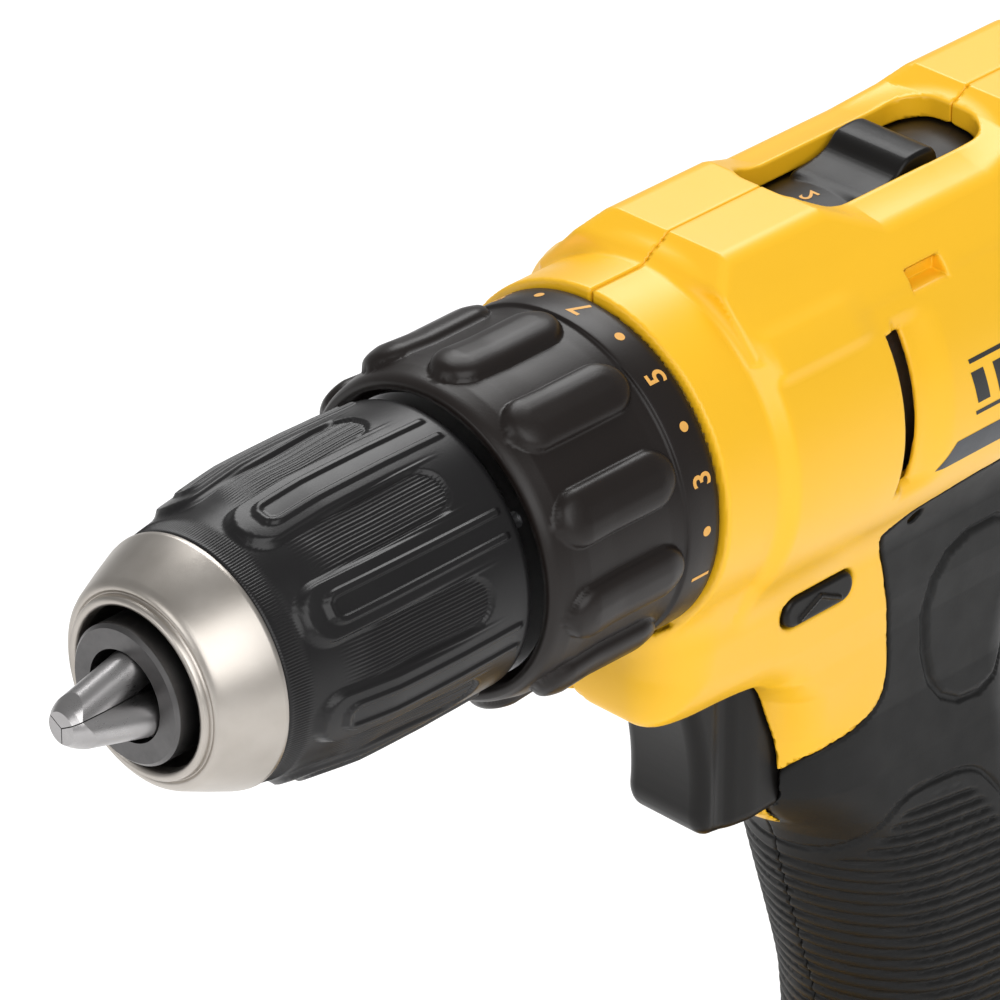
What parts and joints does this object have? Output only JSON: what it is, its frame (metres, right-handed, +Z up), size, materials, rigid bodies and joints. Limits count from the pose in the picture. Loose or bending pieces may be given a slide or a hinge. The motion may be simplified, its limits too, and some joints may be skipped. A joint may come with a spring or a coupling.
{
  "type": "cordless drill",
  "caption": "Pistol-grip cordless drill driver with keyless chuck, torque clutch collar, gear selector, trigger, rubber grip and slide-on battery.",
  "frame": {"origin": "on the ground under the middle of the drill's box, where the battery stands", "axes": "+X forward along the spindle and out of the chuck, +Y to the drill's left, +Z up"},
  "size_m": [0.226, 0.074, 0.2238],
  "materials": {
    "housing": "yellow glass-filled nylon, fine satin grain",
    "rubber": "black thermoplastic rubber overmould, matt",
    "black_plastic": "black moulded nylon, satin",
    "black_gloss": "black moulded plastic, polished",
    "nickel": "satin nickel plate",
    "steel": "turned and ground steel",
    "dark_steel": "blackened steel",
    "sintered": "sintered steel gear, oiled",
    "gear_case": "glass-filled nylon, dark grey",
    "aluminium": "die cast",
    "zinc": "zinc plated steel",
    "magnet": "sintered ferrite",
    "copper": "enamelled copper wire",
    "brass": "pressed brass",
    "lamination": "stacked silicon steel laminations",
    "white_plastic": "nylon, natural white",
    "lens": "clear acrylic lamp lens",
    "cell_wrap": "blue shrink sleeve",
    "circuit_board": "green solder resist",
    "wire": "insulated copper wire"
  },
  "bodies": {
    "housing": {"housing_left": "housing", "housing_right": "housing", "housing_screws": "zinc", "grip_left": "rubber", "grip_right": "rubber", "rear_cap": "black_plastic", "gear_case": "gear_case", "gear_case_cover": "zinc", "ring_gear_1": "sintered", "ring_gear_3": "sintered", "spindle_bearing": "steel", "motor_can": "zinc", "motor_magnets": "magnet", "brush_holder": "black_plastic", "motor_brushes": "brass", "motor_leads": "wire", "clutch_spring": "steel", "clutch_washer": "zinc", "clutch_pins": "steel", "collar_retainer": "zinc", "trigger_switch": "black_plastic", "work_light": "lens", "terminal_block": "brass"},
    "spindle": {"spindle": "steel", "chuck_body": "dark_steel", "chuck_screw": "dark_steel"},
    "sleeve": {"chuck_sleeve": "black_gloss", "chuck_nose": "nickel", "chuck_nut": "sintered", "chuck_bearing": "steel"},
    "jaw_1": {"chuck_jaw_1": "steel"},
    "jaw_2": {"chuck_jaw_2": "steel"},
    "jaw_3": {"chuck_jaw_3": "steel"},
    "rotor": {"motor_shaft": "steel", "motor_pinion": "sintered", "armature_core": "lamination", "armature_windings": "copper", "commutator": "copper", "motor_fan": "black_plastic"},
    "stage_two": {"carrier_1": "sintered", "planets_2": "sintered", "carrier_2": "sintered"},
    "shift_ring": {"ring_gear_2": "sintered"},
    "planet_1a": {"planet_1a": "sintered"},
    "planet_1b": {"planet_1b": "sintered"},
    "planet_1c": {"planet_1c": "sintered"},
    "planet_3a": {"planet_3a": "sintered"},
    "planet_3b": {"planet_3b": "sintered"},
    "planet_3c": {"planet_3c": "sintered"},
    "collar": {"clutch_collar": "black_plastic"},
    "nut": {"clutch_nut": "white_plastic"},
    "selector": {"speed_selector": "black_plastic", "shift_fork": "zinc"},
    "trigger": {"trigger": "black_gloss"},
    "reversing_button": {"reversing_button": "black_plastic"},
    "battery": {"battery_case_lower": "black_plastic", "battery_case_upper": "black_plastic", "battery_cells": "cell_wrap", "battery_board": "circuit_board"},
    "release_button": {"release_button": "black_gloss"}
  },
  "joints": [
    {"name": "spindle_spin", "type": "hinge", "parent": "housing", "child": "spindle", "pos_m": [0.0143, 0, 0.194], "axis": [1, 0, 0], "continuous": true},
    {"name": "rotor_spin", "type": "hinge", "parent": "housing", "child": "rotor", "pos_m": [0.0143, 0, 0.194], "axis": [1, 0, 0], "continuous": true},
    {"name": "stage_two_spin", "type": "hinge", "parent": "housing", "child": "stage_two", "pos_m": [0.0143, 0, 0.194], "axis": [1, 0, 0], "continuous": true},
    {"name": "shift_ring_slide", "type": "slide", "parent": "stage_two", "child": "shift_ring", "axis": [1, 0, 0], "range_m": [0, 0.007]},
    {"name": "planet_1a_spin", "type": "hinge", "parent": "stage_two", "child": "planet_1a", "pos_m": [-0.0277, 0.0108, 0.194], "axis": [1, 0, 0], "continuous": true},
    {"name": "planet_3a_spin", "type": "hinge", "parent": "spindle", "child": "planet_3a", "pos_m": [0.0013, 0.01282, 0.194], "axis": [1, 0, 0], "continuous": true},
    {"name": "planet_1b_spin", "type": "hinge", "parent": "stage_two", "child": "planet_1b", "pos_m": [-0.0277, -0.0054, 0.20335], "axis": [1, 0, 0], "continuous": true},
    {"name": "planet_3b_spin", "type": "hinge", "parent": "spindle", "child": "planet_3b", "pos_m": [0.0013, -0.00641, 0.20511], "axis": [1, 0, 0], "continuous": true},
    {"name": "planet_1c_spin", "type": "hinge", "parent": "stage_two", "child": "planet_1c", "pos_m": [-0.0277, -0.0054, 0.18465], "axis": [1, 0, 0], "continuous": true},
    {"name": "planet_3c_spin", "type": "hinge", "parent": "spindle", "child": "planet_3c", "pos_m": [0.0013, -0.00641, 0.18289], "axis": [1, 0, 0], "continuous": true},
    {"name": "sleeve_turn", "type": "hinge", "parent": "spindle", "child": "sleeve", "pos_m": [0.0143, 0, 0.194], "axis": [1, 0, 0], "range_deg": [0, 4320]},
    {"name": "jaw_1_slide", "type": "slide", "parent": "spindle", "child": "jaw_1", "axis": [-0.9636, 0, 0.2672], "range_m": [0, 0.024]},
    {"name": "jaw_2_slide", "type": "slide", "parent": "spindle", "child": "jaw_2", "axis": [-0.9636, -0.2314, -0.1336], "range_m": [0, 0.024]},
    {"name": "jaw_3_slide", "type": "slide", "parent": "spindle", "child": "jaw_3", "axis": [-0.9636, 0.2314, -0.1336], "range_m": [0, 0.024]},
    {"name": "collar_turn", "type": "hinge", "parent": "housing", "child": "collar", "pos_m": [0.0143, 0, 0.194], "axis": [1, 0, 0], "range_deg": [-158, 105]},
    {"name": "nut_slide", "type": "slide", "parent": "collar", "child": "nut", "axis": [1, 0, 0], "range_m": [-0.0023, 0.0016], "deforming": ["clutch_spring"]},
    {"name": "selector_slide", "type": "slide", "parent": "housing", "child": "selector", "axis": [1, 0, 0], "range_m": [0, 0.007]},
    {"name": "trigger_pull", "type": "slide", "parent": "housing", "child": "trigger", "axis": [-1, 0, 0], "range_m": [0, 0.0065], "stiffness_N_per_m": 900, "springref_m": -0.002},
    {"name": "reversing_slide", "type": "slide", "parent": "housing", "child": "reversing_button", "axis": [0, 1, 0], "range_m": [-0.003, 0.003]},
    {"name": "battery_slide", "type": "slide", "parent": "housing", "child": "battery", "axis": [1, 0, 0], "range_m": [0, 0.085]},
    {"name": "release_press", "type": "slide", "parent": "battery", "child": "release_button", "axis": [0, 0, -1], "range_m": [0, 0.0025], "stiffness_N_per_m": 1200, "springref_m": -0.001}
  ],
  "couplings": [
    {"joint": "rotor_spin", "follows": "spindle_spin", "ratio": 13.5},
    {"joint": "stage_two_spin", "follows": "spindle_spin", "ratio": 3},
    {"joint": "shift_ring_slide", "follows": "selector_slide", "ratio": 1},
    {"joint": "planet_1a_spin", "follows": "spindle_spin", "ratio": -8.4},
    {"joint": "planet_3a_spin", "follows": "spindle_spin", "ratio": -4},
    {"joint": "planet_1b_spin", "follows": "spindle_spin", "ratio": -8.4},
    {"joint": "planet_3b_spin", "follows": "spindle_spin", "ratio": -4},
    {"joint": "planet_1c_spin", "follows": "spindle_spin", "ratio": -8.4},
    {"joint": "planet_3c_spin", "follows": "spindle_spin", "ratio": -4},
    {"joint": "jaw_1_slide", "follows": "sleeve_turn", "m_per_rad": 0.00031831},
    {"joint": "jaw_2_slide", "follows": "sleeve_turn", "m_per_rad": 0.00031831},
    {"joint": "jaw_3_slide", "follows": "sleeve_turn", "m_per_rad": 0.00031831},
    {"joint": "nut_slide", "follows": "collar_turn", "m_per_rad": 0.00079577}
  ]
}
